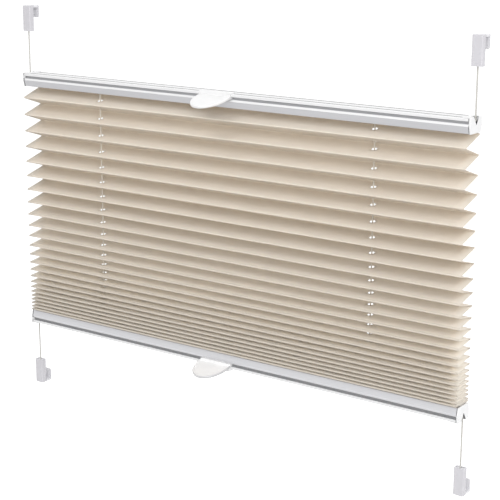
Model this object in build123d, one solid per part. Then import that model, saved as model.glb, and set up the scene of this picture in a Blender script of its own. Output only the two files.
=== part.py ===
"""Pleated blind, moved by hand from the top or the bottom, on two tension cords.

Sizes are in millimetres. X runs along the rails, Y to the back and Z up. The origin is
the centre of the overall box. Every piece is first drawn about the plane of the cords.
"""
import math
import os

from build123d import *

os.makedirs("parts", exist_ok=True)

# main sizes
rail_length = 400.0             # rail profile between its end caps
sash_height = 318.0             # edge to edge height of the sash held by the hooks
upper_rail_drop = 62.85         # from the sash's upper edge to the fabric's upper end
lower_rail_rise = 64.7          # from the sash's lower edge to the fabric's lower end
wall = 0.9                      # profile wall
slide_gap = 0.1                 # clearance of a piece pushed into another
cord_gap = 0.3                  # clearance round a cord that runs through a piece

# rail profile, as half widths and as heights above the face against the fabric
rail_height = 10.5
face_half = 6.9
outer_half = 8.3
shoulder_height = 5.0
groove_low = 6.5
groove_high = 8.6
groove_half = 6.0
slot_half = 3.6
line_offset = 4.4
line_width = 0.7
line_depth = 0.4
roof_wall = 1.2
shoulder_wall = 1.0
shoulder_drop = 0.4             # the inside corner lies this far below the shoulder
shoulder_taper = 0.8            # the shoulder leans in by this much up to the groove
shoulder_radius = 1.4
edge_radius = 0.5

# cords
cord_radius = 0.55
bend_radius = 3.2               # every bend of a cord inside a rail
cord_height = 6.0               # height of the cords along the inside of a rail
cord_overhang = 1.0             # a cord leaves the rail's end this far out
hole_inset = 76.0               # from the rail's end to the column of cord holes
hole_column_y = 2.0             # from the plane of the cords' ends to that column

# end caps
cap_reach = 1.8                 # from the rail's end to the outside of the cap
cap_seam = 0.5                  # shadow gap between the rail's end and the cap's flange
seam_depth = 0.8
cap_proud = 0.2
cover_length = 5.0              # tongue of the cap over the rail's outer face
cover_half = 7.4
cover_thickness = 0.4
plug_length = 9.0
notch_half = 3.3
notch_depth = 5.2
notch_reach = 2.6
tunnel_half = 2.2               # opening through the plug, behind the notch
tunnel_low = 4.6
tunnel_high = 8.9

# fabric
sheet_thickness = 0.3
pleat_count = 24
pleat_depth = 18.8              # from the front folds to the back folds
top_pleat = 14.2                # height of the highest pleat
bottom_pleat = 3.0              # height of the lowest pleat
sag_share = 0.85                # how early the pleats close on the way down
fold_radius = 0.42
top_fold_drop = 2.4             # highest back fold below the upper rail
last_fold_rise = 1.4            # lowest back fold above the lower rail
glue_half = 2.6                 # half width of the strip of fabric under the carrier
glue_gap = 0.05
cord_hole_radius = 2.1

# fabric carrier, the strip that holds the end of the fabric in the rail's slot
carrier_head_half = 5.4
carrier_head = 1.2
carrier_lift = 0.1

# cord guides
guide_half_foot = 4.6
guide_foot = 1.2
guide_side = 0.5
guide_lead = 6.0
guide_back = 2.8

# hook brackets
bracket_width = 8.0
bracket_depth = 5.0
bracket_height = 20.4
bracket_wall = 1.0
bridge = 1.6
hook_gap = 4.5
leg_thickness = 1.3
leg_length = 9.8
cavity_depth = 15.0
corner_radius = 0.8
hook_tip_radius = 1.5
hook_seat_radius = 0.4
hook_back_radius = 0.7
shoe_recess = 0.6
shoe_length = 6.4
stop_length = 3.0
stop_radius = 1.15

# handles
handle_place = -6.0             # where both handles sit along the rails
handle_half = 14.2
handle_wall = 1.2
handle_rise = 1.9               # the clip stands this far above the rail's outer face
handle_back_rise = 0.9
handle_back = 3.6               # from the plane of the cords to the clip's back edge
handle_corner = 1.6
nib_drop = 0.2                  # the clip's nib reaches this far into a thin groove
tab_reach = 22.0
tab_drop = 5.5
tab_thickness = 2.0
tab_half = 14.4                 # half width where the tab is widest
tab_widest = 3.0                # that place, ahead of the tab's root
rim_width = 1.5
dish_root = 1.6                 # the dish starts this far ahead of the root
dish_depth = 0.5
root_overlap = 0.7              # the tab's root reaches this far into the clip's front wall
tab_root_height = 7.0           # from the fabric side of the rail to the root of the tab

# places that follow from the sizes
chamber_roof = rail_height - roof_wall
upper_rail_face = sash_height / 2 - upper_rail_drop
lower_rail_face = lower_rail_rise - sash_height / 2
cord_end_x = rail_length / 2 + cord_overhang
hole_column_x = rail_length / 2 - hole_inset
bracket_end = sash_height / 2 + bridge - bracket_height


def mirrored(points):
    """Right half of a profile followed by its mirror image."""
    return points + [(-y, z) for y, z in reversed(points)]


def bar(points, low_x, high_x):
    """Closed outline in Y and Z, drawn out along X."""
    return extrude(Plane.YZ.offset(low_x) * Face(Wire.make_polygon(
        [Vector(y, z) for y, z in points], close=True)), high_x - low_x)


def block(low, high):
    """Box between two opposite corners."""
    size = [b - a for a, b in zip(low, high)]
    return Pos(*low) * Box(*size, align=(Align.MIN, Align.MIN, Align.MIN))


def edges_at(part, y=None, z=None, tol=0.02):
    """Edges along X at one place of the outline."""
    found = part.edges().filter_by(Axis.X)
    if y is not None:
        found = found.filter_by(lambda e: abs(abs(e.center().Y) - y) < tol)
    if z is not None:
        found = found.filter_by(lambda e: abs(e.center().Z - z) < tol)
    return found


def upper(part):
    """From heights above the fabric side of a rail to the upper rail."""
    return Pos(0, 0, upper_rail_face) * part


def lower(part):
    """The same piece on the lower rail, upside down."""
    return Pos(0, 0, lower_rail_face) * (Rot(0, 180, 0) * part)


def lower_mirrored(part):
    """A left or right hand piece on the lower rail, mirrored top to bottom."""
    return Pos(0, 0, lower_rail_face) * mirror(part, Plane.XY)


def chamber(gap):
    """Right half of the space inside the rail profile, less a gap all round."""
    neck = groove_half - wall - gap
    shoulder = outer_half - shoulder_wall - gap
    return [
        (face_half - wall - gap, wall + gap), (shoulder, shoulder_height - shoulder_drop - gap),
        (neck, groove_low - wall - gap), (neck, chamber_roof - gap),
    ]


def rail():
    """Hollow profile with a slot for the fabric and a grip groove at each side."""
    half = rail_length / 2
    outline = [
        (slot_half, 0), (face_half, 0), (outer_half, shoulder_height),
        (outer_half - shoulder_taper, groove_low), (groove_half, groove_low),
        (groove_half, groove_high), (outer_half, groove_high),
        (outer_half, rail_height),
    ]
    solid = bar(mirrored(outline), -half, half)
    rounded = edges_at(solid, face_half, 0) + edges_at(solid, outer_half, rail_height)
    solid = fillet(rounded, edge_radius)
    solid = fillet(edges_at(solid, outer_half, shoulder_height), shoulder_radius)
    solid = fillet(edges_at(solid, outer_half - shoulder_taper, groove_low), 0.3)
    solid -= bar(mirrored(chamber(0)), -half, half)
    solid -= block((-half, -slot_half, -1), (half, slot_half, wall + 0.5))
    for side in (-1, 1):
        middle = side * line_offset
        solid -= block((-half, middle - line_width / 2, rail_height - line_depth),
                       (half, middle + line_width / 2, rail_height + 1))
    return solid


def cap_channel():
    """Space that a cord needs to run through the right-hand end cap."""
    inner = rail_length / 2 - plug_length - 1
    path = FilletPolyline(
        (cord_end_x, 0, rail_height + 1), (cord_end_x, 0, cord_height),
        (inner, 0, cord_height), radius=bend_radius)
    ring = Plane(origin=path @ 0, z_dir=path % 0) * Circle(cord_radius + cord_gap)
    return sweep(ring, path=path)


def end_cap():
    """Right-hand end cap: a flange with a notch for the cord, a plug and a cover tongue."""
    inner = rail_length / 2
    outer = inner + cap_reach
    low = face_half + cap_proud
    high = outer_half + cap_proud
    cover_low = rail_height + slide_gap
    top = cover_low + cover_thickness
    outline = [(low, -cap_proud), (high, shoulder_height), (high, top)]
    flange = bar(mirrored(outline), inner + cap_seam, outer)
    rims = flange.faces().sort_by(Axis.X)[-1].edges()
    flange = fillet(rims, edge_radius)
    collar = bar(mirrored([
        (low - seam_depth, seam_depth), (high - seam_depth, shoulder_height),
        (high - seam_depth, rail_height - seam_depth),
    ]), inner, inner + cap_seam)
    cover = block((inner - cover_length, -cover_half, cover_low),
                  (inner + cap_seam, cover_half, top))
    cover = fillet(cover.edges().filter_by(Axis.Z).sort_by(Axis.X)[:2], 0.6)
    plug = bar(mirrored(chamber(slide_gap)), inner - plug_length, inner)
    plug = chamfer(plug.faces().sort_by(Axis.X)[0].edges(), 0.4)
    notch = bar([
        (-notch_half, top + 1), (-notch_half, rail_height),
        (0, rail_height - notch_depth), (notch_half, rail_height), (notch_half, top + 1),
    ], outer - notch_reach, outer + 1)
    tunnel = block((inner - plug_length - 1, -tunnel_half, tunnel_low),
                   (inner + cap_seam, tunnel_half, tunnel_high))
    return flange + collar + cover + plug - notch - tunnel - cap_channel()


def carrier():
    """T-shaped strip in the rail's slot, with a hole for each cord."""
    half = rail_length / 2 - plug_length - 1
    head_low = wall + carrier_lift
    neck = slot_half - slide_gap * 2
    solid = bar(mirrored([
        (neck, 0), (neck, head_low), (carrier_head_half, head_low),
        (carrier_head_half, head_low + carrier_head),
    ]), -half, half)
    for side in (-1, 1):
        hole = Cylinder(cord_radius + cord_gap, 10)
        solid -= Pos(side * hole_column_x, side * hole_column_y, 0) * hole
    return solid


def guide():
    """Block that turns a cord from along the rail to down through the pleats."""
    foot_low = wall + carrier_lift + carrier_head + slide_gap
    foot_high = foot_low + guide_foot
    top = chamber_roof - slide_gap * 2
    x_low = hole_column_x - guide_lead
    x_high = hole_column_x + guide_back
    side_high = groove_half - wall - slide_gap * 2
    foot = block((x_low, -guide_half_foot, foot_low),
                 (x_high, guide_half_foot, foot_high))
    tower = block((x_low, guide_side, foot_low), (x_high, side_high, top))
    tower = fillet(tower.edges().filter_by(Axis.Y).sort_by(Axis.Z)[-2:], 1.0)
    path = FilletPolyline(
        (x_low - 1, hole_column_y, cord_height),
        (hole_column_x, hole_column_y, cord_height),
        (hole_column_x, hole_column_y, 0), radius=bend_radius)
    ring = Plane(origin=path @ 0, z_dir=path % 0) * Circle(cord_radius + cord_gap)
    return foot + tower - sweep(ring, path=path)


def cord():
    """Cord of the left-hand brackets, in one run through both rails."""
    anchor = bracket_end + shoe_recess + shoe_length + stop_length - 0.4
    high = upper_rail_face + cord_height
    low = lower_rail_face - cord_height
    corners = [
        (-cord_end_x, 0, anchor), (-cord_end_x, 0, high),
        (hole_column_x, hole_column_y, high), (hole_column_x, hole_column_y, low),
        (-cord_end_x, 0, low), (-cord_end_x, 0, -anchor),
    ]
    path = FilletPolyline(*corners, radius=bend_radius)
    ring = Plane(origin=path @ 0, z_dir=path % 0) * Circle(cord_radius)
    solid = sweep(ring, path=path)
    section = math.pi * cord_radius ** 2
    print("cord run", round(path.length, 1), "mm, bends of", bend_radius,
          "mm, volume over section times length",
          round(solid.volume / (section * path.length), 5))
    return solid


def pleat_heights():
    """Height of each pleat, from open at the top to nearly closed at the bottom."""
    room = (upper_rail_face - top_fold_drop) - (lower_rail_face + last_fold_rise)
    raw = []
    for k in range(pleat_count):
        t = k / (pleat_count - 1)
        share = t + sag_share * t ** 2 * (1 - t)
        raw.append(top_pleat + (bottom_pleat - top_pleat) * share)
    scale = room / sum(raw)
    return [h * scale for h in raw]


def fold_centres():
    """Centres of all the folds in Y and Z, from the highest back fold down."""
    back = pleat_depth / 2 - fold_radius
    z = upper_rail_face - top_fold_drop
    centres = [(back, z)]
    for height in pleat_heights():
        centres.append((-back, z - height / 2))
        z -= height
        centres.append((back, z))
    return centres


def touching_normals(start, end, reach):
    """Unit normals of the two lines that pass both points at distances adding to a reach."""
    dy = end[0] - start[0]
    dz = end[1] - start[1]
    run = math.hypot(dy, dz)
    along = reach / run
    across = math.sqrt(1 - along ** 2)
    return [(along * dy / run - sign * across * dz / run,
             along * dz / run + sign * across * dy / run) for sign in (-1, 1)]


def wall_normal(start, end):
    """Unit normal, pointing down, of the flat wall between two folds."""
    return min(touching_normals(start, end, 2 * fold_radius), key=lambda n: n[1])


def lead_normal(centre, bend, side):
    """Unit normal, pointing up or down, of the lead between a fold and a rail."""
    return max(touching_normals(centre, bend, fold_radius), key=lambda n: side * n[1])


def moved(point, normal, distance):
    return (point[0] + normal[0] * distance, point[1] + normal[1] * distance)


def fabric_side(side):
    """Edges of one face of the folded sheet, from the upper rail to the lower rail."""
    centres = fold_centres()
    offset = side * sheet_thickness / 2
    glue_z = glue_gap + sheet_thickness / 2
    high = (glue_half, upper_rail_face - glue_z)
    low = (glue_half, lower_rail_face + glue_z)
    high_n = lead_normal(centres[0], high, 1)
    low_n = lead_normal(centres[-1], low, -1)
    radius = [fold_radius + (offset if k % 2 == 0 else -offset)
              for k in range(len(centres))]

    def corner(point, normal, up):
        middle = (normal[0] / 2, (normal[1] + up) / 2)
        length = math.hypot(*middle)
        unit = (middle[0] / length, middle[1] / length)
        return moved(point, unit, offset / length)

    def at(point):
        return Vector(-rail_length / 2, point[0], point[1])

    last = corner(high, high_n, 1)
    edges = [Line(at((-glue_half, high[1] + offset)), at(last))]
    normals = [wall_normal(a, b) for a, b in zip(centres, centres[1:])]
    for k, centre in enumerate(centres):
        bulge = 1 if k % 2 == 0 else -1
        into = high_n if k == 0 else (-normals[k - 1][0], -normals[k - 1][1])
        out = low_n if k == len(centres) - 1 else normals[k]
        start = moved(centre, into, radius[k])
        end = moved(centre, out, radius[k])
        edges.append(Line(at(last), at(start)))
        tip = moved(centre, (bulge, 0), radius[k])
        edges.append(ThreePointArc(at(start), at(tip), at(end)))
        last = end
    bend = corner(low, low_n, -1)
    edges.append(Line(at(last), at(bend)))
    edges.append(Line(at(bend), at((-glue_half, low[1] - offset))))
    return edges


def fabric():
    """The pleated sheet, folded to and fro, with two columns of punched cord holes."""
    outer = fabric_side(1)
    inner = fabric_side(-1)
    ends = [Line(outer[0] @ 0, inner[0] @ 0), Line(outer[-1] @ 1, inner[-1] @ 1)]
    solid = extrude(Face(Wire(outer + inner + ends)), rail_length, dir=(1, 0, 0))
    tall = upper_rail_face - lower_rail_face
    middle = (upper_rail_face + lower_rail_face) / 2
    for side in (-1, 1):
        hole = Cylinder(cord_hole_radius, tall + 20)
        solid -= Pos(side * hole_column_x, side * hole_column_y, middle) * hole
    flat = sum(e.length for e in outer)
    print("fabric flat length", round(flat, 1), "mm, width", rail_length, "mm")
    return solid


def bracket():
    """Hook bracket with its cord end down and its hook at the top."""
    half = bracket_depth / 2
    inside = half + hook_gap
    back = inside + leg_thickness
    top = bracket_height
    outline = [
        (-half, 0), (half, 0), (half, top - bridge), (inside, top - bridge),
        (inside, top - leg_length), (back, top - leg_length), (back, top), (-half, top),
    ]
    solid = bar(outline, -bracket_width / 2, bracket_width / 2)
    solid = fillet(solid.edges().filter_by(Axis.Z).filter_by(
        lambda e: abs(e.center().Y) < half + 0.1), corner_radius)
    free = solid.edges().filter_by(Axis.Y).filter_by(
        lambda e: abs(e.center().Z - (top - leg_length)) < 0.1)
    solid = fillet(free, hook_tip_radius)
    solid = fillet(edges_at(solid, inside, top - bridge), hook_seat_radius)
    solid = fillet(edges_at(solid, back, top), hook_back_radius)
    cavity = block((-bracket_width / 2 + bracket_wall, -half + bracket_wall, -1),
                   (bracket_width / 2 - bracket_wall, half - bracket_wall, cavity_depth))
    cavity = fillet(cavity.edges().filter_by(Axis.Z), 0.4)
    return solid - cavity


def shoe():
    """Plug in the open end of a bracket, that the cord runs through."""
    half_x = bracket_width / 2 - bracket_wall - slide_gap
    half_y = bracket_depth / 2 - bracket_wall - slide_gap
    solid = block((-half_x, -half_y, shoe_recess),
                  (half_x, half_y, shoe_recess + shoe_length))
    solid = fillet(solid.edges().filter_by(Axis.Z), 0.4)
    solid = chamfer(solid.faces().sort_by(Axis.Z)[0].edges(), 0.3)
    return solid - Pos(0, 0, shoe_recess) * Cylinder(cord_radius + slide_gap, 40)


def stop():
    """Ferrule pressed on the end of a cord, behind its plug."""
    low = shoe_recess + shoe_length + slide_gap
    solid = Pos(0, 0, low + stop_length / 2) * Cylinder(stop_radius, stop_length)
    solid = chamfer(solid.edges().filter_by(GeomType.CIRCLE), 0.3)
    return solid - Cylinder(cord_radius, 60)


def half_oval(margin, root):
    """Outline of the finger tab ahead of its root, set in by a margin."""
    along = math.hypot(tab_reach, tab_drop) - tab_widest - margin
    turn = math.degrees(math.asin((tab_widest - root) / along))
    oval = EllipticalCenterArc((0, tab_widest), tab_half - margin, along,
                               start_angle=-turn, arc_size=180 + 2 * turn)
    return make_face(oval + Line(oval @ 1, oval @ 0))


def tab(slopes_down):
    """Finger tab, dished on its side towards the fabric, sloping down or up."""
    plate = extrude(half_oval(0, 0), tab_thickness)
    plate = fillet(plate.edges().filter_by(lambda e: e.center().Y > 1), 0.6)
    plate -= extrude(half_oval(rim_width, dish_root), dish_depth)
    plate = Rot(0, 0, 180) * plate
    slope = math.degrees(math.atan2(tab_drop, tab_reach))
    return Rot(slope if slopes_down else -slope, 0, 0) * plate


def handle(slopes_down):
    """Clip over the front edge of a rail's outer face, with its finger tab."""
    front = outer_half + slide_gap
    outside = front + handle_wall
    top = rail_height + slide_gap
    jaw_low = groove_low + 0.15
    jaw_high = groove_high - slide_gap
    nib_front = line_offset + line_width / 2 - slide_gap
    nib_back = line_offset - line_width / 2 + slide_gap
    nib_low = rail_height - nib_drop
    clip = bar([
        (-handle_back, top), (-handle_back, top + handle_back_rise),
        (handle_wall / 2 - outside, top + handle_rise), (-outside, top + handle_rise),
        (-outside, jaw_low), (-groove_half - 0.15, jaw_low),
        (-groove_half - 0.15, jaw_high), (-front, jaw_high), (-front, top),
        (-nib_front, top), (-nib_front, nib_low), (-nib_back, nib_low), (-nib_back, top),
    ], -handle_half, handle_half)
    clip = fillet(edges_at(clip, outside, top + handle_rise), 0.4)
    frame = block((-handle_half, -2 * front, 0), (handle_half, front, top + handle_rise))
    frame = fillet(frame.edges().filter_by(Axis.Y).sort_by(Axis.Z)[-2:], handle_corner)
    clip = clip & frame
    root = Pos(0, root_overlap - outside, tab_root_height)
    return clip + root * tab(slopes_down)


pieces = {}
pieces["upper_rail"] = upper(rail())
pieces["lower_rail"] = lower(rail())
right_cap = end_cap()
left_cap = Rot(0, 0, 180) * right_cap
pieces["upper_cap_right"] = upper(right_cap)
pieces["upper_cap_left"] = upper(left_cap)
pieces["lower_cap_left"] = lower(right_cap)
pieces["lower_cap_right"] = lower(left_cap)
pieces["upper_carrier"] = upper(carrier())
pieces["lower_carrier"] = lower_mirrored(carrier())
right_guide = guide()
left_guide = Rot(0, 0, 180) * right_guide
pieces["upper_guide_right"] = upper(right_guide)
pieces["upper_guide_left"] = upper(left_guide)
pieces["lower_guide_right"] = lower_mirrored(right_guide)
pieces["lower_guide_left"] = lower_mirrored(left_guide)
pieces["fabric"] = fabric()
left_cord = cord()
pieces["cord_left"] = left_cord
pieces["cord_right"] = Rot(0, 0, 180) * left_cord
pieces["upper_handle"] = upper(Pos(handle_place, 0, 0) * handle(True))
pieces["lower_handle"] = lower(Pos(-handle_place, 0, 0) * handle(False))
for name, side in (("left", -1), ("right", 1)):
    spot = Pos(side * cord_end_x, 0, bracket_end)
    for part, made in (("bracket", bracket()), ("shoe", shoe()), ("stop", stop())):
        pieces["top_%s_%s" % (part, name)] = spot * made
        foot = Rot(0, 180, 0) * (Pos(0, 0, bracket_end) * made)
        pieces["bottom_%s_%s" % (part, name)] = Pos(side * cord_end_x, 0, 0) * foot

front_reach = min(p.bounding_box().min.Y for p in pieces.values())
back_reach = max(p.bounding_box().max.Y for p in pieces.values())
cord_plane = -(front_reach + back_reach) / 2
print("cord plane at Y", round(cord_plane, 4))
print("bracket end at Z", round(bracket_end, 3))
for name, piece in pieces.items():
    export_step(Pos(0, cord_plane, 0) * piece, "parts/%s.step" % name)
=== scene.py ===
import math

import bmesh
import bpy
from mathutils import Matrix, Vector


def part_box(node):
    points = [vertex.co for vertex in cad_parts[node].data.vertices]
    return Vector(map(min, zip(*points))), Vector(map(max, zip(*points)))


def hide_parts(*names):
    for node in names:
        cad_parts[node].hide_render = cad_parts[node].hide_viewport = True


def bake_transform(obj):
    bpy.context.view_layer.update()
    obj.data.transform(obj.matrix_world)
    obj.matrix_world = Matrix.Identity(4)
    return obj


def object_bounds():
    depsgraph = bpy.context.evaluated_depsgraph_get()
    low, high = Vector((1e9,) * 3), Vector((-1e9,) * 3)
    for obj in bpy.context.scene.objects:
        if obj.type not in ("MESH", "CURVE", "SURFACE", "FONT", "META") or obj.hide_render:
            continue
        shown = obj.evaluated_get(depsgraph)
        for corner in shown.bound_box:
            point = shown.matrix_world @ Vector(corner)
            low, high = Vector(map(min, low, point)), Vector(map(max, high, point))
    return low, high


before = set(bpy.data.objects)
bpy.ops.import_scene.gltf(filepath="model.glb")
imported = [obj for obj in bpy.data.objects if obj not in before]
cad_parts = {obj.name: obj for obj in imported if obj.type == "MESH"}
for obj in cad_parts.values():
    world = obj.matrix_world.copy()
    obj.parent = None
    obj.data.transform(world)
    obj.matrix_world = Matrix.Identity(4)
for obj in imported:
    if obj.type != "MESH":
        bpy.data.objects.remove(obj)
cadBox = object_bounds()
millimetre = 0.001
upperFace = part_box("upper_rail")[0].z  # where the fabric meets the upper rail
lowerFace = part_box("lower_rail")[1].z
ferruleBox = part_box("top_stop_right")
cordPlane = (ferruleBox[0].y + ferruleBox[1].y) / 2
cordEnd = (ferruleBox[0].x + ferruleBox[1].x) / 2  # where a cord leaves the end of a rail
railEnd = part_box("upper_rail")[1].x
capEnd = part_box("upper_cap_right")[1].x
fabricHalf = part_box("fabric")[1].x  # half the width of the sheet
print("frame loaded, cord plane", round(cordPlane, 5))


def addObject(name, data):
    made = bpy.data.objects.new(name, data)
    bpy.context.collection.objects.link(made)
    return made


# camera

camera = {
    "place": (0.6015, cordPlane - 0.8216, 0.2465),
    "yaw": 35.294,  # degrees from +Y towards -X
    "down": 14.317,  # degrees, as is the next
    "roll": 0.19,
    "lens": 99.7,
    "sensor": 36,
    "nearest": 0.01,
    "furthest": 60,
}


def makeCamera():
    yaw, down, roll = (math.radians(camera[k]) for k in ("yaw", "down", "roll"))
    level = math.cos(down)
    ahead = Vector((-math.sin(yaw) * level, math.cos(yaw) * level, -math.sin(down)))
    right = Vector((math.cos(yaw), math.sin(yaw), 0))
    up = right.cross(ahead)
    side = right * math.cos(roll) + up * math.sin(roll)
    top = up * math.cos(roll) - right * math.sin(roll)
    data = bpy.data.cameras.new("camera")
    data.lens = camera["lens"]
    data.sensor_width = camera["sensor"]
    data.clip_start = camera["nearest"]
    data.clip_end = camera["furthest"]
    made = addObject("camera", data)
    turn = Matrix((side, top, -ahead)).transposed()
    made.matrix_world = Matrix.Translation(camera["place"]) @ turn.to_4x4()
    bpy.context.scene.camera = made


makeCamera()
print("camera set")


# node helpers

def addNode(tree, kind, *values, **settings):
    made = tree.nodes.new(kind)
    for name, value in settings.items():
        setattr(made, name, value)
    for socket, value in zip(made.inputs, values):
        give(tree, socket, value)
    return made


def give(tree, socket, value):
    if isinstance(value, bpy.types.NodeSocket):
        tree.links.new(value, socket)
    elif value is not None:
        socket.default_value = value


def calc(tree, operation, *values):
    return addNode(tree, "ShaderNodeMath", *values, operation=operation).outputs[0]


def weighted(tree, *parts):
    # sum of (value, share) pairs
    total = None
    for value, share in parts:
        part = calc(tree, "MULTIPLY", value, share)
        total = part if total is None else calc(tree, "ADD", total, part)
    return total


def between(tree, value, low, high, toLow=0.0, toHigh=1.0):
    made = addNode(tree, "ShaderNodeMapRange", value, low, high, toLow, toHigh)
    made.interpolation_type = "SMOOTHSTEP"
    return made.outputs[0]


def within(tree, value, low, high):
    above = calc(tree, "GREATER_THAN", value, low)
    return calc(tree, "MULTIPLY", above, calc(tree, "LESS_THAN", value, high))


def splitPoint(tree, point):
    return addNode(tree, "ShaderNodeSeparateXYZ", point).outputs


def blendColours(tree, share, first, second):
    made = addNode(tree, "ShaderNodeMix", data_type="RGBA")
    colours = [s for s in made.inputs if s.type == "RGBA"]
    give(tree, made.inputs[0], share)
    give(tree, colours[0], first)
    give(tree, colours[1], second)
    return [s for s in made.outputs if s.type == "RGBA"][0]


def darker(colour, share):
    return tuple(share * c for c in colour[:3]) + (1,)


def cloudiness(tree, vector, stretch, detail=2.0, roughness=0.5):
    mapped = addNode(tree, "ShaderNodeMapping", vector)
    mapped.inputs["Scale"].default_value = stretch
    noise = addNode(tree, "ShaderNodeTexNoise")
    tree.links.new(mapped.outputs[0], noise.inputs["Vector"])
    noise.inputs["Scale"].default_value = 1
    noise.inputs["Detail"].default_value = detail
    noise.inputs["Roughness"].default_value = roughness
    return noise.outputs[0]


def roughen(tree, shader, height, depth, strength):
    bump = addNode(tree, "ShaderNodeBump")
    bump.inputs["Strength"].default_value = strength
    bump.inputs["Distance"].default_value = depth
    tree.links.new(height, bump.inputs["Height"])
    tree.links.new(bump.outputs[0], shader.inputs["Normal"])


def startMaterial(name, **fixed):
    made = bpy.data.materials.new(name)
    made.use_nodes = True
    shader = made.node_tree.nodes["Principled BSDF"]
    for socket, value in fixed.items():
        shader.inputs[socket].default_value = value
    return made, made.node_tree, shader


def objectPoint(tree):
    return addNode(tree, "ShaderNodeTexCoord").outputs["Object"]


def asideOf(tree, place):
    # distance from the plane of the cords
    return calc(tree, "ABSOLUTE", calc(tree, "SUBTRACT", place[1], cordPlane))


# pleated fabric

pleatedFabric = {
    "light": (0.87, 0.81, 0.725, 1),
    "dark": (0.83, 0.765, 0.675, 1),
    "low": (0.75, 0.695, 0.617, 1),  # painted shade on the front of the closed pleats, which are less lit
    "inside": (0.975, 0.94, 0.885, 1),  # painted light deep in them, so that they look hardly shaded
    "closedFrom": -0.070,  # the pleats are closed at this height
    "closedTo": 0.035,  # and open from here up
    "insideNear": 6.5 * millimetre,  # from the plane of the cords, as is the next
    "insideFar": 8.9 * millimetre,
    "throughShare": 0.32,  # part of the light that each face lets through
    "insideThrough": 0.22,  # and so much more of it deep in the closed pleats
    "threadPitch": 0.42 * millimetre,
    "threadDepth": 0.05 * millimetre,
    "slubs": (45, 2600, 1),  # noise over the flat cloth, as are the next two
    "streaks": (2200, 60, 1),
    "patches": (26, 26, 1),
    "toneShares": (0.55, 0.25, 0.3),  # of slubs, streaks and patches
    "toneRange": (0.35, 0.75),
    "slubRange": (0.3, 0.7),
    "weaveHeight": 0.6,
    "slubHeight": 0.8,
    "bump": 0.6,
    "sheen": 0.25,
    "sheenRoughness": 0.6,
    "specular": 0.25,
    "roughness": 0.85,
    "roughnessSpread": 0.08,
}


def fabricMaterial():
    cloth = pleatedFabric
    made, tree, shader = startMaterial("pleatedFabric", **{
        "Sheen Weight": cloth["sheen"], "Sheen Roughness": cloth["sheenRoughness"],
        "Specular IOR Level": cloth["specular"]})
    flat = addNode(tree, "ShaderNodeUVMap", uv_map="flat").outputs[0]
    slubs = cloudiness(tree, flat, cloth["slubs"], 3)
    streaks = cloudiness(tree, flat, cloth["streaks"])
    patches = cloudiness(tree, flat, cloth["patches"], 3)
    tone = weighted(tree, *zip((slubs, streaks, patches), cloth["toneShares"]))
    colour = blendColours(tree, between(tree, tone, *cloth["toneRange"]), cloth["light"], cloth["dark"])
    place = splitPoint(tree, objectPoint(tree))
    closed = between(tree, place[2], cloth["closedFrom"], cloth["closedTo"], 1.0, 0.0)
    # painted shade on the front of the closed pleats
    colour = blendColours(tree, closed, colour, cloth["low"])
    # painted light: paler deep in the closed pleats
    behind = between(tree, asideOf(tree, place), cloth["insideNear"], cloth["insideFar"], 1.0, 0.0)
    inside = calc(tree, "MULTIPLY", closed, behind)
    colour = blendColours(tree, inside, colour, cloth["inside"])
    tree.links.new(colour, shader.inputs["Base Color"])
    smooth, coarse = (cloth["roughness"] + side * cloth["roughnessSpread"] for side in (-1, 1))
    tree.links.new(between(tree, slubs, *cloth["slubRange"], smooth, coarse), shader.inputs["Roughness"])
    wave = 2 * math.pi / cloth["threadPitch"]
    warp, weft = (calc(tree, "SINE", calc(tree, "MULTIPLY", way, wave)) for way in splitPoint(tree, flat)[:2])
    weave = calc(tree, "MULTIPLY_ADD", warp, weft, 0.5)
    height = weighted(tree, (weave, cloth["weaveHeight"]), (slubs, cloth["slubHeight"]))
    roughen(tree, shader, height, cloth["threadDepth"], cloth["bump"])
    through = addNode(tree, "ShaderNodeBsdfTranslucent", colour)
    share = calc(tree, "MULTIPLY_ADD", inside, cloth["insideThrough"], cloth["throughShare"])
    both = addNode(tree, "ShaderNodeMixShader", share, shader.outputs[0], through.outputs[0])
    tree.links.new(both.outputs[0], tree.nodes["Material Output"].inputs["Surface"])
    return made


# rails

railFinish = {
    "white": (0.75, 0.75, 0.755, 1),
    "metal": 0.65,
    "specular": 0.5,
    "groove": (6.45 * millimetre, 8.62 * millimetre),  # heights of the grip groove, which is painted in shade
    "grooveHalf": 7.35 * millimetre,
    "lineHeight": 9.9 * millimetre,
    "line": (3.65 * millimetre, 5.15 * millimetre),  # from the cords' plane to both sides of a thin groove, a band of painted shade wider than the groove
    "lineShade": (0.05, 0.05, 0.052, 1),
    # painted shade on the rail's cut ends, seen in the gap beside each cap
    "endShade": (0.10, 0.10, 0.11, 1),
    "endDepth": 0.03 * millimetre,
    "brush": (6, 5200, 5200),  # noise along the rail, as is the next
    "patches": (22, 160, 160),
    "brushRange": (0.3, 0.7),
    "brushDark": 0.93,
    "brushDepth": 0.02 * millimetre,
    "bump": 0.35,
    "roughness": 0.24,
    "brushRoughness": 0.16,
    "patchRoughness": 0.1,
    "above": {  # its silver, groove and shoulder differ from the lower rail's as painted light and shade; its slanted sides face down, towards the pale floor
        "silver": (0.48, 0.48, 0.496, 1),
        "whiteFrom": 4.8 * millimetre,  # where the shoulder starts, above the fabric side; the white on the shoulder is a painted highlight
        "whiteTo": 5.1 * millimetre,
        "grooveShade": (0.45, 0.45, 0.465, 1),
    },
    # painted lighter silver, darker groove shade and a smaller shoulder highlight than the upper rail's
    "below": {
        "silver": (0.62, 0.62, 0.64, 1),
        "whiteFrom": 5.5 * millimetre,
        "whiteTo": 6.2 * millimetre,
        "grooveShade": (0.30, 0.30, 0.31, 1),
    },
}


def railPlace(tree, point, face, direction):
    # height above a rail's fabric side, distance from the cords' plane and distance from mid rail
    place = splitPoint(tree, point)
    height = calc(tree, "MULTIPLY", calc(tree, "SUBTRACT", place[2], face), direction)
    return height, asideOf(tree, place), calc(tree, "ABSOLUTE", place[0])


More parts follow.
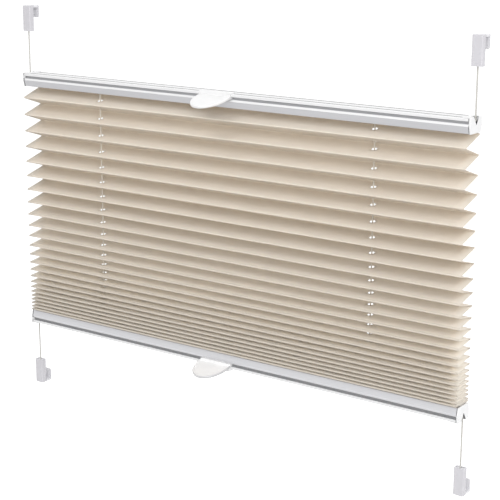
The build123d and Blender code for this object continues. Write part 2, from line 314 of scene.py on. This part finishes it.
def railMaterial(name, face, direction, tones):
    made, tree, shader = startMaterial(name, **{"Specular IOR Level": railFinish["specular"]})
    point = objectPoint(tree)
    height, aside, along = railPlace(tree, point, face, direction)
    whiteShare = between(tree, height, tones["whiteFrom"], tones["whiteTo"])
    brush = cloudiness(tree, point, railFinish["brush"], 3, 0.6)
    patches = cloudiness(tree, point, railFinish["patches"])
    silver = blendColours(tree, between(tree, brush, *railFinish["brushRange"]), tones["silver"],
                          darker(tones["silver"], railFinish["brushDark"]))
    # silver below the shoulder, white from it up; on the shoulder the white is a painted highlight
    colour = blendColours(tree, whiteShare, silver, railFinish["white"])
    # painted shade in the grip groove
    inGroove = calc(tree, "MULTIPLY", within(tree, height, *railFinish["groove"]),
                    calc(tree, "LESS_THAN", aside, railFinish["grooveHalf"]))
    colour = blendColours(tree, inGroove, colour, tones["grooveShade"])
    # painted shade in bands along the thin grooves
    inLine = calc(tree, "MULTIPLY", calc(tree, "GREATER_THAN", height, railFinish["lineHeight"]),
                  within(tree, aside, *railFinish["line"]))
    colour = blendColours(tree, inLine, colour, railFinish["lineShade"])
    # painted shade on the cut ends
    atEnd = calc(tree, "GREATER_THAN", along, railEnd - railFinish["endDepth"])
    colour = blendColours(tree, atEnd, colour, railFinish["endShade"])
    tree.links.new(colour, shader.inputs["Base Color"])
    metal = calc(tree, "MULTIPLY", calc(tree, "SUBTRACT", 1.0, whiteShare), railFinish["metal"])
    tree.links.new(metal, shader.inputs["Metallic"])
    grain = weighted(tree, (brush, railFinish["brushRoughness"]), (patches, railFinish["patchRoughness"]))
    tree.links.new(calc(tree, "ADD", grain, railFinish["roughness"]), shader.inputs["Roughness"])
    roughen(tree, shader, brush, railFinish["brushDepth"], railFinish["bump"])
    return made


# moulded plastics

moulding = {
    "flow": 90,  # soft clouds to the metre
    "flowRange": (0.3, 0.7),
    "flowDark": 0.95,  # share of the colour that is left in them
    "flowHeight": 2.0,  # next to the grain
    "smooth": -0.05,  # change of roughness at both ends of the flow's range
    "coarse": 0.08,
    "coarseRange": (0.25, 0.75),
    "coatRoughness": 0.12,
    "bump": 0.4,
}


def mouldedMaterial(name, colour, roughness=0.3, grain=0.35 * millimetre, depth=0.012 * millimetre,
                    coat=0.0, dark=None, paintedShading=None):
    made, tree, shader = startMaterial(
        name, **{"Coat Weight": coat, "Coat Roughness": moulding["coatRoughness"]})
    point = objectPoint(tree)
    grains = cloudiness(tree, point, (1 / grain,) * 3, 3)
    flow = cloudiness(tree, point, (moulding["flow"],) * 3, 3)
    dark = dark or darker(colour, moulding["flowDark"])
    tone = blendColours(tree, between(tree, flow, *moulding["flowRange"]), colour, dark)
    # painted light and shade laid on the tone
    if paintedShading:
        tone = paintedShading(tree, point, tone)
    tree.links.new(tone, shader.inputs["Base Color"])
    rough = between(tree, flow, *moulding["coarseRange"],
                    roughness + moulding["smooth"], roughness + moulding["coarse"])
    tree.links.new(rough, shader.inputs["Roughness"])
    surface = weighted(tree, (grains, 1.0), (flow, moulding["flowHeight"]))
    roughen(tree, shader, surface, depth, moulding["bump"])
    return made


capFinish = {
    "seam": 0.46 * millimetre,  # painted shade in the gap beside the rail's end
    "seamDepth": 0.03 * millimetre,
    "flangeSeam": 0.53 * millimetre,  # and lighter painted shade on the face of the flange in that gap
    "seamHeight": 10.45 * millimetre,
    "grip": (6.3 * millimetre, 8.8 * millimetre),  # the grip groove ends here and has no dark seam
    "seamShade": (0.09, 0.09, 0.10, 1),
    "flangeShade": (0.30, 0.30, 0.31, 1),
    "notchHalf": 3.3 * millimetre,
    "notchMargin": 0.04 * millimetre,
    "notchLow": 5.3 * millimetre,
    "notchHigh": 10.5 * millimetre,
    "notchReach": 2.62 * millimetre,
    "notchShade": (0.03, 0.03, 0.032, 1),
    "notchFull": 0.25,  # up to this share of its height the notch is shaded fully
}


def paintedCapShade(face, direction, mouthShare):
    # painted shade in the seam beside the rail and in the notch, where mouthShare is what its mouth gets
    low, high = capFinish["notchLow"], capFinish["notchHigh"]
    slope = capFinish["notchHalf"] / (high - low)
    seamEnd = railEnd + capFinish["seam"]

    def paintedShading(tree, point, tone):
        height, aside, along = railPlace(tree, point, face, direction)
        besideGrip = calc(tree, "SUBTRACT", 1.0, within(tree, height, *capFinish["grip"]))
        shaded = calc(tree, "MULTIPLY", besideGrip,
                      calc(tree, "LESS_THAN", height, capFinish["seamHeight"]))
        for start, end, shade in (
                (railEnd - capFinish["seamDepth"], seamEnd, "seamShade"),
                (seamEnd, railEnd + capFinish["flangeSeam"], "flangeShade")):
            share = calc(tree, "MULTIPLY", within(tree, along, start, end), shaded)
            tone = blendColours(tree, share, tone, capFinish[shade])
        # painted shade in the notch, full near its bottom
        walls = calc(tree, "MULTIPLY_ADD", calc(tree, "SUBTRACT", height, low), slope,
                     capFinish["notchMargin"])
        inNotch = calc(tree, "MULTIPLY", calc(tree, "LESS_THAN", aside, walls),
                       within(tree, along, capEnd - capFinish["notchReach"], capEnd + millimetre))
        depth = between(tree, height, low, high)  # 0 at the bottom of the notch
        full = between(tree, depth, 1.0, capFinish["notchFull"], mouthShare, 1.0)
        return blendColours(tree, calc(tree, "MULTIPLY", inNotch, full), tone, capFinish["notchShade"])

    return paintedShading


hookInside = {  # painted light inside the hook of a bracket: a pale grey that lifts the shade there
    "from": cordPlane + 2.45 * millimetre,
    "to": cordPlane + 7.05 * millimetre,
    "colour": (0.73, 0.725, 0.75, 1),
}


# painted light inside the hook
def paintedHookLight(tree, point, tone):
    inHook = within(tree, splitPoint(tree, point)[1], hookInside["from"], hookInside["to"])
    return blendColours(tree, inHook, tone, hookInside["colour"])


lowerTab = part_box("lower_handle")
tabEdgeShade = {  # painted shade along the outer edge of the lower tab, so that it stands out
    "x": (lowerTab[0].x + lowerTab[1].x) / 2,
    "y": lowerTab[0].y + 19.1 * millimetre,  # widest place of the oval
    "halfAcross": 14.4 * millimetre,
    "halfAhead": 19.1 * millimetre,
    "range": (0.93, 0.965),  # squared share of the way from there to the edge
    "behind": -0.1,  # the edge is shaded from this share of the oval, behind its widest place
    "colour": (0.58, 0.58, 0.59, 1),
}


# painted shade along the lower tab's outer edge
def paintedTabEdgeShade(tree, point, tone):
    place = splitPoint(tree, point)
    across = calc(tree, "DIVIDE", calc(tree, "SUBTRACT", place[0], tabEdgeShade["x"]), tabEdgeShade["halfAcross"])
    ahead = calc(tree, "DIVIDE", calc(tree, "SUBTRACT", tabEdgeShade["y"], place[1]), tabEdgeShade["halfAhead"])
    reach = calc(tree, "ADD", calc(tree, "MULTIPLY", across, across), calc(tree, "MULTIPLY", ahead, ahead))
    edge = calc(tree, "MULTIPLY", between(tree, reach, *tabEdgeShade["range"]),
                calc(tree, "GREATER_THAN", ahead, tabEdgeShade["behind"]))
    return blendColours(tree, edge, tone, tabEdgeShade["colour"])


# braided cord

cordFinish = {
    "light": (0.62, 0.605, 0.57, 1),
    "dark": (0.40, 0.385, 0.355, 1),
    "lightInPleats": (0.78, 0.74, 0.66, 1),  # painted light: lighter than the rest of the cord, for the part that the translucent sheet keeps in the shade
    "darkInPleats": (0.62, 0.575, 0.50, 1),
    "strands": 6,  # strands each way round the cord
    "turn": 3.4 * millimetre,  # length in which a strand goes once round
    "strandRange": (-0.6, 0.7),
    "depth": 0.09 * millimetre,
    "bump": 0.7,
    "roughness": 0.75,
    "sheen": 0.2,
    "specular": 0.3,
}


def cordMaterial(name, light, dark):
    made, tree, shader = startMaterial(name, **{
        "Roughness": cordFinish["roughness"], "Sheen Weight": cordFinish["sheen"],
        "Specular IOR Level": cordFinish["specular"]})
    strands = float(cordFinish["strands"])
    lay = splitPoint(tree, addNode(tree, "ShaderNodeAttribute", attribute_name="lay").outputs["Vector"])
    around = calc(tree, "MULTIPLY", calc(tree, "ARCTAN2", lay[1], lay[0]), strands)
    along = calc(tree, "MULTIPLY", lay[2], 2 * math.pi * strands / cordFinish["turn"])
    one, other = (calc(tree, "SINE", calc(tree, way, around, along)) for way in ("ADD", "SUBTRACT"))
    braid = calc(tree, "MAXIMUM", one, other)
    colour = blendColours(tree, between(tree, braid, *cordFinish["strandRange"]), dark, light)
    tree.links.new(colour, shader.inputs["Base Color"])
    roughen(tree, shader, braid, cordFinish["depth"], cordFinish["bump"])
    return made


# pleated sheet

sheet = {
    "thickness": 0.3 * millimetre,
    "pleats": 24,
    "depth": 18.8 * millimetre,
    "topPleat": 14.0,  # share of the height, as is the next
    "bottomPleat": 3.25,
    "sag": 1.68,  # how early the pleats close on the way down
    "lastPleat": 0.5,  # the lowest pleat is pressed flat by the rail
    "foldRadius": 0.42 * millimetre,
    "topFoldDrop": 2.0 * millimetre,
    "lastFoldRise": 0.75 * millimetre,
    "glueHalf": 2.6 * millimetre,
    "glueGap": 0.05 * millimetre,
    "holeRadius": 2.1 * millimetre,
    "holeX": cordEnd - 77 * millimetre,
    "holeY": 2.0 * millimetre,
    "holeRoom": 4 * millimetre,  # from a hole's middle to the next column of vertices
    "foldSteps": 4,
    "cell": 8 * millimetre,
    "rowStep": 2 * millimetre,
    "rowsAside": 3,  # rows on a wall to each side of its middle
    "ripple": 0.16 * millimetre,
    "rippleLength": 55 * millimetre,
    "rippleSqueeze": 2.2,  # ripples are so much shorter down the sheet
    "rippleStart": 3.7,  # another value gives other ripples
}


def pleatHeights(room):
    raw = []
    for k in range(sheet["pleats"]):
        t = k / (sheet["pleats"] - 1)
        share = t + sheet["sag"] * t ** 3 * (1 - t)
        raw.append(sheet["topPleat"] + (sheet["bottomPleat"] - sheet["topPleat"]) * share)
    raw[-1] *= sheet["lastPleat"]
    return [h * room / sum(raw) for h in raw]


def foldCentres():
    back = sheet["depth"] / 2 - sheet["foldRadius"]
    z = upperFace - sheet["topFoldDrop"]
    centres = [(back, z)]
    for height in pleatHeights(z - lowerFace - sheet["lastFoldRise"]):
        centres.append((-back, z - height / 2))
        z -= height
        centres.append((back, z))
    return centres


def touchingNormals(start, end, reach):
    # unit normals of the two lines that pass between both points, at distances that add up to reach
    dy, dz = end[0] - start[0], end[1] - start[1]
    run = math.hypot(dy, dz)
    along = reach / run
    across = math.sqrt(1 - along ** 2)
    return [(along * dy / run - sign * across * dz / run,
             along * dz / run + sign * across * dy / run) for sign in (-1, 1)]


def foldedProfile():
    # rows of the sheet as (y, z, wall), where wall is the number of the flat wall that starts there
    centres = foldCentres()
    radius = sheet["foldRadius"]
    glueZ = sheet["glueGap"] + sheet["thickness"] / 2
    high = (sheet["glueHalf"], upperFace - glueZ)
    low = (sheet["glueHalf"], lowerFace + glueZ)
    lead = max(touchingNormals(centres[0], high, radius), key=lambda n: n[1])
    tail = min(touchingNormals(centres[-1], low, radius), key=lambda n: n[1])
    normals = [min(touchingNormals(a, b, 2 * radius), key=lambda n: n[1])
               for a, b in zip(centres, centres[1:])]
    rows = [(-high[0], high[1], None), (0, high[1], None), (high[0], high[1], None)]
    for k, (y, z) in enumerate(centres):
        into = lead if k == 0 else (-normals[k - 1][0], -normals[k - 1][1])
        out = tail if k == len(centres) - 1 else normals[k]
        bulge = 1 if k % 2 == 0 else -1
        first = math.atan2(into[1], into[0] * bulge)
        last = math.atan2(out[1], out[0] * bulge)
        for step in range(sheet["foldSteps"] + 1):
            angle = first + (last - first) * step / sheet["foldSteps"]
            wall = k if step == sheet["foldSteps"] and k < len(centres) - 1 else None
            rows.append((y + bulge * radius * math.cos(angle), z + radius * math.sin(angle), wall))
    rows += [(low[0], low[1], None), (0, low[1], None), (-low[0], low[1], None)]
    return rows


def sheetRows():
    # adds the rows on each flat wall, and notes where each wall's middle is
    profile = foldedProfile()
    aside = sheet["rowsAside"]
    rows, middles, v = [], [], 0.0
    for k, (y, z, wall) in enumerate(profile):
        rows.append((v, y, z))
        if k == len(profile) - 1:
            break
        nextY, nextZ, _ = profile[k + 1]
        run = math.hypot(nextY - y, nextZ - z)
        if wall is not None:
            middle = y / (y - nextY)  # where the wall crosses the plane of the cords
            middles.append((len(rows) + aside, 1 if nextY > y else -1, run / abs(nextY - y)))
            for i in range(-aside, aside + 1):
                offset = middle * run + i * sheet["rowStep"]
                share = offset / run
                rows.append((v + offset, y + (nextY - y) * share, z + (nextZ - z) * share))
        v += run
    return rows, middles


def sheetColumns():
    low, high = sheet["holeX"] - sheet["holeRoom"], sheet["holeX"] + sheet["holeRoom"]
    columns = [-high, -sheet["holeX"], -low, low, sheet["holeX"], high]
    for start, end in zip([-fabricHalf, -low, high], [-high, low, fabricHalf]):
        count = max(1, round((end - start) / sheet["cell"]))
        columns += [start + (end - start) * i / count for i in range(count + 1)]
    return sorted(set(round(x, 7) for x in columns))


def punchHole(made, grid, row, column, x, y):
    # joins a round hole to the vertices round the four by two cells that are left open for it
    around = ((-2, -1), (-1, -1), (0, -1), (1, -1), (2, -1), (2, 0),
              (2, 1), (1, 1), (0, 1), (-1, 1), (-2, 1), (-2, 0))
    ring = [grid[row + i][column + j] for i, j in around]
    angles = [math.atan2(v.co.y - y, v.co.x - x) for v in ring]
    fine = []
    for k, angle in enumerate(angles):
        step = (angles[(k + 1) % len(ring)] - angle + math.pi) % (2 * math.pi) - math.pi
        fine += [angle, angle + step / 2]
    radius = sheet["holeRadius"]
    punched = [made.verts.new((x + radius * math.cos(a), y + radius * math.sin(a), 0)) for a in fine]
    for k, corner in enumerate(ring):
        after = (k + 1) % len(ring)
        made.faces.new((corner, ring[after], punched[2 * after], punched[2 * k + 1], punched[2 * k]))


def flatSheet(rows, middles, first, last):
    # flat cloth between two rows: x across, y down its cut length, with its punched holes
    columns = sheetColumns()
    spare = sheet["rowsAside"] + 2  # a hole needs its wall's own rows and a fold beyond them
    made = bmesh.new()
    grid = [[made.verts.new((x, rows[r][0], 0)) for x in columns] for r in range(first, last + 1)]
    holes = {}
    for row, leans, stretch in middles:
        if row < first + spare or row > last - spare:
            continue
        for side in (-1, 1):
            centreX = side * sheet["holeX"]
            shift = side * sheet["holeY"] * stretch * leans
            middleRow = row + (1 if shift > 0 else -1)
            column = min(range(len(columns)), key=lambda i: abs(columns[i] - centreX))
            holes[(middleRow - first, column)] = (centreX, rows[row][0] + shift)
    blocked = {(r + i, c + j) for r, c in holes for i in (-2, -1, 0, 1) for j in (-1, 0)}
    for r in range(len(grid) - 1):
        for c in range(len(columns) - 1):
            if (r, c) not in blocked:
                made.faces.new((grid[r][c], grid[r + 1][c], grid[r + 1][c + 1], grid[r][c + 1]))
    for (r, c), (x, y) in holes.items():
        punchHole(made, grid, r, c, x, y)
    bmesh.ops.delete(made, geom=[v for v in made.verts if not v.link_faces], context="VERTS")
    bmesh.ops.triangulate(made, faces=[f for f in made.faces if len(f.verts) > 4])
    flat = made.loops.layers.uv.new("flat")
    for face in made.faces:
        for loop in face.loops:
            loop[flat].uv = (loop.vert.co.x, loop.vert.co.y)
    bmesh.ops.recalc_face_normals(made, faces=made.faces)
    mesh = bpy.data.meshes.new("flatSheet")
    made.to_mesh(mesh)
    made.free()
    return mesh


def profileCurve(rows):
    data = bpy.data.curves.new("pleatProfile", "CURVE")
    data.dimensions = "3D"
    line = data.splines.new("POLY")
    line.points.add(len(rows) - 1)
    for point, (_, y, z) in zip(line.points, rows):
        point.co = (0, cordPlane + y, z, 1)
    return addObject("pleatProfile", data)


def startTree(name, inputs):
    tree = bpy.data.node_groups.new(name, "GeometryNodeTree")
    tree.interface.new_socket("Geometry", in_out="OUTPUT", socket_type="NodeSocketGeometry")
    tree.interface.new_socket("Geometry", in_out="INPUT", socket_type="NodeSocketGeometry")
    for label, kind, value in inputs:
        made = tree.interface.new_socket(label, in_out="INPUT", socket_type="NodeSocket" + kind)
        if value is not None:
            made.default_value = value
    return tree, tree.nodes.new("NodeGroupInput").outputs


def endTree(tree, geometry, material):
    real = addNode(tree, "GeometryNodeRealizeInstances", geometry)
    finish = addNode(tree, "GeometryNodeSetMaterial", real.outputs[0])
    tree.links.new(material, finish.inputs["Material"])
    end = tree.nodes.new("NodeGroupOutput")
    tree.links.new(finish.outputs[0], end.inputs[0])
    return tree


def foldingTree():
    # lays each point of the flat sheet on the folded profile, at the same length along it
    tree, source = startTree("foldSheet", [
        ("Profile", "Object", None), ("Ripple", "Float", sheet["ripple"]),
        ("Ripple length", "Float", sheet["rippleLength"]), ("Finish", "Material", None)])
    x, y, _ = splitPoint(tree, addNode(tree, "GeometryNodeInputPosition").outputs[0])
    profile = addNode(tree, "GeometryNodeObjectInfo")
    tree.links.new(source["Profile"], profile.inputs["Object"])
    sample = addNode(tree, "GeometryNodeSampleCurve", mode="LENGTH", use_all_curves=True)
    tree.links.new(profile.outputs["Geometry"], sample.inputs["Curves"])
    tree.links.new(y, sample.inputs["Length"])
    folded = splitPoint(tree, sample.outputs["Position"])
    noise = addNode(tree, "ShaderNodeTexNoise", noise_dimensions="3D")
    down = calc(tree, "MULTIPLY", y, sheet["rippleSqueeze"])
    across = addNode(tree, "ShaderNodeCombineXYZ", x, down, sheet["rippleStart"])
    tree.links.new(across.outputs[0], noise.inputs["Vector"])
    tree.links.new(calc(tree, "DIVIDE", 1.0, source["Ripple length"]), noise.inputs["Scale"])
    noise.inputs["Detail"].default_value = 1

    def rippled(value, channel):
        half = calc(tree, "MULTIPLY", calc(tree, "SUBTRACT", channel, 0.5), source["Ripple"])
        return calc(tree, "ADD", value, calc(tree, "MULTIPLY", half, 2.0))

    place = addNode(tree, "ShaderNodeCombineXYZ", x, rippled(folded[1], noise.outputs[0]),
                    rippled(folded[2], splitPoint(tree, noise.outputs["Color"])[1]))
    move = addNode(tree, "GeometryNodeSetPosition")
    tree.links.new(source["Geometry"], move.inputs["Geometry"])
    tree.links.new(place.outputs[0], move.inputs["Position"])
    return endTree(tree, move.outputs[0], source["Finish"])


def setInput(modifier, name, value):
    for item in modifier.node_group.interface.items_tree:
        if item.item_type == "SOCKET" and item.in_out == "INPUT" and item.name == name:
            modifier[item.identifier] = value


def plainMesh(made, name):
    # the evaluated result as a mesh of its own, with no modifier left
    graph = bpy.context.evaluated_depsgraph_get()
    mesh = bpy.data.meshes.new_from_object(made.evaluated_get(graph))
    bpy.data.objects.remove(made)
    mesh.name = name
    mesh.shade_smooth()
    return addObject(name, mesh)


def evenBlend(piece):
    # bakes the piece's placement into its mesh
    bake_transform(piece)


def makeFabric(finish):
    # two halves that meet at the back fold nearest to mid height
    rows, middles = sheetRows()
    profile = profileCurve(rows)
    tree = foldingTree()
    backTips = [k for k in range(1, len(rows) - 1)
                if rows[k][1] > rows[k - 1][1] and rows[k][1] > rows[k + 1][1]]
    seam = min(backTips, key=lambda k: abs(rows[k][2]))
    for name, first, last, rail, end in (
            ("fabricUpper", 0, seam, "upper_rail", upperFace - sheet["topFoldDrop"]),
            ("fabricLower", seam, len(rows) - 1, "lower_rail", lowerFace + sheet["lastFoldRise"])):
        flat = addObject(name + "Flat", flatSheet(rows, middles, first, last))
        fold = flat.modifiers.new("fold", "NODES")
        fold.node_group = tree
        setInput(fold, "Profile", profile)
        setInput(fold, "Finish", finish)
        solid = flat.modifiers.new("thickness", "SOLIDIFY")
        solid.thickness = sheet["thickness"]
        solid.offset = 0
        solid.use_even_offset = True
        piece = plainMesh(flat, name)
        evenBlend(piece)
        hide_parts("fabric")
        print(name, "made,", len(piece.data.polygons), "faces")
    bpy.data.objects.remove(profile)
    print("sheet cut", round(2 * fabricHalf, 3), "by", round(rows[-1][0], 4))
    return rows[seam][2]


fabricSeam = makeFabric(fabricMaterial())  # height at which its two halves meet


# cords

cords = {
    "radius": 0.55 * millimetre,
    "sides": 12,
    "smoothing": 8,  # steps from one point of the route to the next
    "height": 6.0 * millimetre,  # above the fabric side of a rail
    "ease": 6.4 * millimetre,  # from a corner to the next point of the route
    "meeting": 0.4 * millimetre,  # above the fabric side too, where two tubes of one cord meet
}


def cordTree():
    # sweeps a round section along the route and keeps where each point lies on the braid
    tree, source = startTree("cordTube", [
        ("Radius", "Float", cords["radius"]), ("Sides", "Int", cords["sides"]),
        ("Finish", "Material", None)])
    length = addNode(tree, "GeometryNodeCaptureAttribute", domain="POINT")
    length.capture_items.new("FLOAT", "Length")
    tree.links.new(source["Geometry"], length.inputs[0])
    tree.links.new(addNode(tree, "GeometryNodeSplineParameter").outputs["Length"], length.inputs[1])
    circle = addNode(tree, "GeometryNodeCurvePrimitiveCircle", mode="RADIUS")
    tree.links.new(source["Sides"], circle.inputs["Resolution"])
    tree.links.new(source["Radius"], circle.inputs["Radius"])
    ring = addNode(tree, "GeometryNodeCaptureAttribute", domain="POINT")
    ring.capture_items.new("VECTOR", "Ring")
    tree.links.new(circle.outputs[0], ring.inputs[0])
    tree.links.new(addNode(tree, "GeometryNodeInputPosition").outputs[0], ring.inputs[1])
    tube = addNode(tree, "GeometryNodeCurveToMesh")
    tree.links.new(length.outputs[0], tube.inputs["Curve"])
    tree.links.new(ring.outputs[0], tube.inputs["Profile Curve"])
    tube.inputs["Fill Caps"].default_value = True
    x, y, _ = splitPoint(tree, ring.outputs[1])
    lay = addNode(tree, "ShaderNodeCombineXYZ", calc(tree, "DIVIDE", x, source["Radius"]),
                  calc(tree, "DIVIDE", y, source["Radius"]), length.outputs[1])
    store = addNode(tree, "GeometryNodeStoreNamedAttribute", data_type="FLOAT_VECTOR", domain="POINT")
    tree.links.new(tube.outputs[0], store.inputs["Geometry"])
    store.inputs["Name"].default_value = "lay"
    tree.links.new(lay.outputs[0], store.inputs["Value"])
    return endTree(tree, store.outputs[0], source["Finish"])


def cordTube(name, route, tree, finish):
    data = bpy.data.curves.new(name + "Route", "CURVE")
    data.dimensions = "3D"
    line = data.splines.new("NURBS")
    line.points.add(len(route) - 1)
    for point, place in zip(line.points, route):
        point.co = (*place, 1)
    line.order_u = 3
    line.use_endpoint_u = True
    line.resolution_u = cords["smoothing"]
    made = addObject(name + "Route", data)
    sweep = made.modifiers.new("tube", "NODES")
    sweep.node_group = tree
    setInput(sweep, "Finish", finish)
    piece = plainMesh(made, name)
    return piece


def makeCords(finish, paintedLitCordFinish):
    tree = cordTree()
    for side, name in ((-1, "Left"), (1, "Right")):
        endX = side * cordEnd
        holeX, holeY = -side * sheet["holeX"], cordPlane - side * sheet["holeY"]
        towards = -side * cords["ease"]
        for rail, place, face, up in (("upper", "top", upperFace, 1), ("lower", "bottom", lowerFace, -1)):
            outer, inner = (1, 0) if up > 0 else (0, 1)
            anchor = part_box(place + "_stop_left")[outer].z
            run = face + up * cords["height"]
            turn = run + up * cords["ease"]
            hole = (holeX, holeY, face + up * cords["meeting"])
            piece = cordTube(rail + "Cord" + name, [
                (endX, cordPlane, anchor), (endX, cordPlane, turn), (endX, cordPlane, run),
                (endX + towards, cordPlane, run), (holeX - towards, holeY, run), (holeX, holeY, run),
                hole], tree, finish)
            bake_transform(piece)
            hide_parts("cord_" + name.lower())
            # the part in the pleats gets the painted-lit copy of the cord's finish
            piece = cordTube(rail + "PleatCord" + name, [
                (holeX, holeY, fabricSeam), (holeX, holeY, (fabricSeam + face) / 2), hole],
                tree, paintedLitCordFinish)
            evenBlend(piece)
            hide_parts("cord_" + name.lower())
    print("cords made")


makeCords(cordMaterial("braidedCord", cordFinish["light"], cordFinish["dark"]),
          cordMaterial("braidedCordPaintedLit", cordFinish["lightInPleats"], cordFinish["darkInPleats"]))


# finishes of the pieces that come from the frame, by a word of the node's name

capColours = {"colour": (0.80, 0.80, 0.805, 1), "dark": (0.77, 0.77, 0.775, 1), "coat": 0.2}
tabSurface = {"roughness": 0.2, "grain": 0.5 * millimetre, "depth": 0.008 * millimetre, "coat": 0.3}
finishes = {
    "upper_rail": railMaterial("upperRailFinish", upperFace, 1.0, railFinish["above"]),
    "lower_rail": railMaterial("lowerRailFinish", lowerFace, -1.0, railFinish["below"]),
    "upper_cap": mouldedMaterial("upperCapPlastic", paintedShading=paintedCapShade(upperFace, 1.0, 0.5), **capColours),
    "lower_cap": mouldedMaterial(  # the lower notches get more painted shade, nearly black
        "lowerCapPlastic", paintedShading=paintedCapShade(lowerFace, -1.0, 0.92), **capColours),
    # the two tabs are one white plastic; the lower tab's lighter colour is painted light
    "upper_handle": mouldedMaterial("upperHandlePlastic", (0.79, 0.79, 0.79, 1), **tabSurface),
    "lower_handle": mouldedMaterial(
        "lowerHandlePlastic", (0.90, 0.90, 0.905, 1), paintedShading=paintedTabEdgeShade, **tabSurface),
    "bracket": mouldedMaterial("bracketPlastic", (0.60, 0.59, 0.62, 1), paintedShading=paintedHookLight),
    "shoe": mouldedMaterial("shoePlastic", (0.76, 0.76, 0.77, 1), 0.4),
    "carrier": mouldedMaterial("carrierPlastic", (0.74, 0.74, 0.73, 1), 0.5),
    "guide": mouldedMaterial("guidePlastic", (0.78, 0.78, 0.77, 1), 0.45),
    "stop": mouldedMaterial("ferruleMetal", (0.6, 0.6, 0.61, 1), 0.35),
}


def finishNodes():
    for name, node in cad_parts.items():
        finish = next((made for word, made in finishes.items() if word in name), None)
        if finish is None:  # fabric and cords, which the scene's own pieces replace
            continue
        if not node.data.materials:
            node.data.materials.append(finish)
        for slot in node.material_slots:
            slot.material = finish
    print("finishes set")


finishNodes()


# floor, light and background

studio = {
    "floorDrop": 0.24,  # below the lowest point of the blind
    "floorSize": 12.0,
    "floorSides": 96,
    "floorColour": (0.50, 0.50, 0.50, 1),
    "floorGlow": 0.8,  # added where the floor itself is seen
    "world": 0.76,  # light on the blind, while the background that is seen stays white
    "lamps": {  # place, size and power
        "key": ((-0.6, -1.6, 2.1), 1.6, 17),
        "front": ((1.0, -1.5, 0.7), 1.4, 16),
        "side": ((2.0, 0.1, 0.5), 1.0, 9),
        "back": ((0.2, 1.3, 1.2), 1.4, 6),
    },
}


def seenDirectly(tree):
    path = addNode(tree, "ShaderNodeLightPath").outputs
    seen = calc(tree, "MAXIMUM", path["Is Camera Ray"], path["Is Glossy Ray"])
    return calc(tree, "MAXIMUM", seen, path["Is Transmission Ray"])


def makeFloor():
    z = cadBox[0].z - studio["floorDrop"]
    made = bmesh.new()
    bmesh.ops.create_circle(made, cap_ends=True, radius=studio["floorSize"],
                            segments=studio["floorSides"], matrix=Matrix.Translation((0, 0, z)))
    mesh = bpy.data.meshes.new("floor")
    made.to_mesh(mesh)
    made.free()
    floor = addObject("floor", mesh)
    finish, tree, shader = startMaterial("floor", **{
        "Base Color": studio["floorColour"], "Roughness": 1.0, "Specular IOR Level": 0.0})
    glow = addNode(tree, "ShaderNodeEmission")
    strength = calc(tree, "MULTIPLY", seenDirectly(tree), studio["floorGlow"])
    tree.links.new(strength, glow.inputs["Strength"])
    both = addNode(tree, "ShaderNodeAddShader", shader.outputs[0], glow.outputs[0])
    tree.links.new(both.outputs[0], tree.nodes["Material Output"].inputs["Surface"])
    mesh.materials.append(finish)


def makeWorld():
    world = bpy.data.worlds.new("studio")
    bpy.context.scene.world = world
    world.use_nodes = True
    tree = world.node_tree
    background = tree.nodes["Background"]
    background.inputs["Color"].default_value = (1, 1, 1, 1)
    strength = calc(tree, "MULTIPLY_ADD", seenDirectly(tree), 1 - studio["world"], studio["world"])
    tree.links.new(strength, background.inputs["Strength"])


def makeLamps():
    for name, (place, size, power) in studio["lamps"].items():
        data = bpy.data.lights.new(name, "AREA")
        data.shape = "DISK"
        data.size = size
        data.energy = power
        lamp = addObject(name, data)
        lamp.location = place
        lamp.rotation_mode = "QUATERNION"
        lamp.rotation_quaternion = (-Vector(place)).to_track_quat("-Z", "Y")  # towards the origin


makeFloor()
makeWorld()
makeLamps()
bpy.context.scene.view_settings.view_transform = "Standard"
print("studio set")
